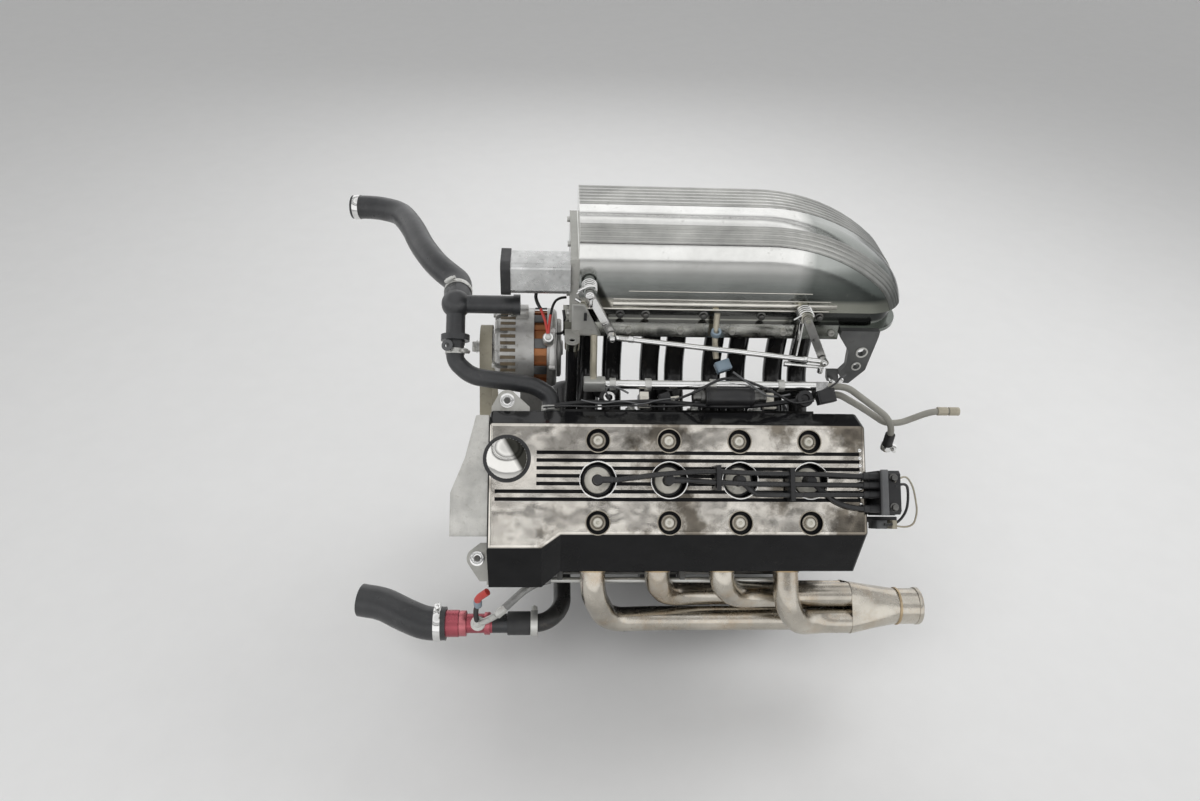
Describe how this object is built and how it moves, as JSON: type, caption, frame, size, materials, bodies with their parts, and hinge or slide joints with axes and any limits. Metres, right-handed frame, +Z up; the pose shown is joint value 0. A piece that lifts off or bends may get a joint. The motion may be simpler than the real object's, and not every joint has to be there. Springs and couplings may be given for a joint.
{
  "type": "dressed inline four-cylinder engine",
  "caption": "Inline twin-cam car engine, bank leaning, with a polished intake plenum and runners, cam cover, plug leads, tubular exhaust header, belt drive, hoses and throttle linkage.",
  "frame": {"origin": "centre of the crankshaft bore on the block's rear face, where the bell housing bolts on", "axes": "+X to the rear, out of the flywheel end; +Z up as installed, with the cylinder bank leaning 45 degrees to -Y, the exhaust side; +Y to the intake side"},
  "size_m": [0.9712, 0.6441, 0.759],
  "materials": {
    "belt_rubber": "worn, pale edge",
    "black_plastic": "matt",
    "black_rubber": "satin",
    "cast_aluminium": "as cast, dull",
    "chrome": "bright chrome",
    "copper": "enamelled copper",
    "cover_gloss": "gloss black with a polished top",
    "engine_paint": "satin dark grey paint on cast iron",
    "grey_plastic": "matt",
    "machined_steel": "machined",
    "pan_paint": "satin black paint",
    "polished_aluminium": "polished",
    "red_anodised": "red anodised",
    "runner_gloss": "gloss black",
    "sand_cast_aluminium": "sand cast, grainy",
    "stainless": "stainless with a light straw tint"
  },
  "bodies": {
    "engine": {"alternator": "cast_aluminium", "alternator_bracket": "cast_aluminium", "alternator_windings": "copper", "block": "engine_paint", "bypass_hose": "black_rubber", "cam_cover": "cover_gloss", "coolant_joint": "cast_aluminium", "coolant_pipe": "pan_paint", "cylinder_head": "cast_aluminium", "drive_belt": "belt_rubber", "engine_feet": "pan_paint", "exhaust_header": "stainless", "front_casting": "sand_cast_aluminium", "fuel_damper": "pan_paint", "fuel_rail": "machined_steel", "ignition_coil": "black_plastic", "injectors": "black_plastic", "inlet_boot": "black_rubber", "inlet_duct": "polished_aluminium", "intake_runners": "runner_gloss", "lead_combs": "black_plastic", "lifting_eyes": "machined_steel", "light_hoses": "grey_plastic", "lower_fitting": "red_anodised", "lower_hose": "black_rubber", "oil_filler_cap": "polished_aluminium", "oil_filter": "pan_paint", "oil_pan": "pan_paint", "plenum": "polished_aluminium", "plug_boots": "black_rubber", "plug_leads": "black_rubber", "rear_bracket": "machined_steel", "starter": "pan_paint", "timing_cover": "cast_aluminium", "upper_hose": "black_rubber", "water_pump": "cast_aluminium"},
    "crank": {"crankshaft": "machined_steel", "crank_pulley": "machined_steel", "flywheel": "machined_steel"},
    "pump_rotor": {"pump_pulley": "machined_steel"},
    "alternator_rotor": {"alternator_pulley": "machined_steel"},
    "front_throttle_lever": {"front_lever": "chrome"},
    "throttle_link": {"throttle_rod": "chrome"},
    "rear_throttle_lever": {"rear_lever": "chrome"}
  },
  "joints": [
    {"name": "crank_spin", "type": "hinge", "parent": "engine", "child": "crank", "pos_m": [0, 0, 0], "axis": [1, 0, 0], "continuous": true},
    {"name": "pump_spin", "type": "hinge", "parent": "engine", "child": "pump_rotor", "pos_m": [-0.552, -0.09899, 0.14142], "axis": [1, 0, 0], "continuous": true},
    {"name": "alternator_spin", "type": "hinge", "parent": "engine", "child": "alternator_rotor", "pos_m": [-0.552, -0.02828, 0.33234], "axis": [1, 0, 0], "continuous": true},
    {"name": "front_lever_turn", "type": "hinge", "parent": "engine", "child": "front_throttle_lever", "pos_m": [-0.388, -0.118, 0.485], "axis": [0, -1, 0], "range_deg": [0, 60]},
    {"name": "rod_turn", "type": "hinge", "parent": "front_throttle_lever", "child": "throttle_link", "pos_m": [-0.354, -0.127, 0.419], "axis": [0, -1, 0], "range_deg": [-60, 0]},
    {"name": "rear_lever_turn", "type": "hinge", "parent": "engine", "child": "rear_throttle_lever", "pos_m": [-0.07, -0.118, 0.447], "axis": [0, -1, 0], "range_deg": [0, 60]}
  ],
  "couplings": [
    {"joint": "pump_spin", "follows": "crank_spin", "ratio": 1.3636},
    {"joint": "alternator_spin", "follows": "crank_spin", "ratio": 2.5862},
    {"joint": "rod_turn", "follows": "front_lever_turn", "ratio": -1},
    {"joint": "rear_lever_turn", "follows": "front_lever_turn", "ratio": 1}
  ]
}
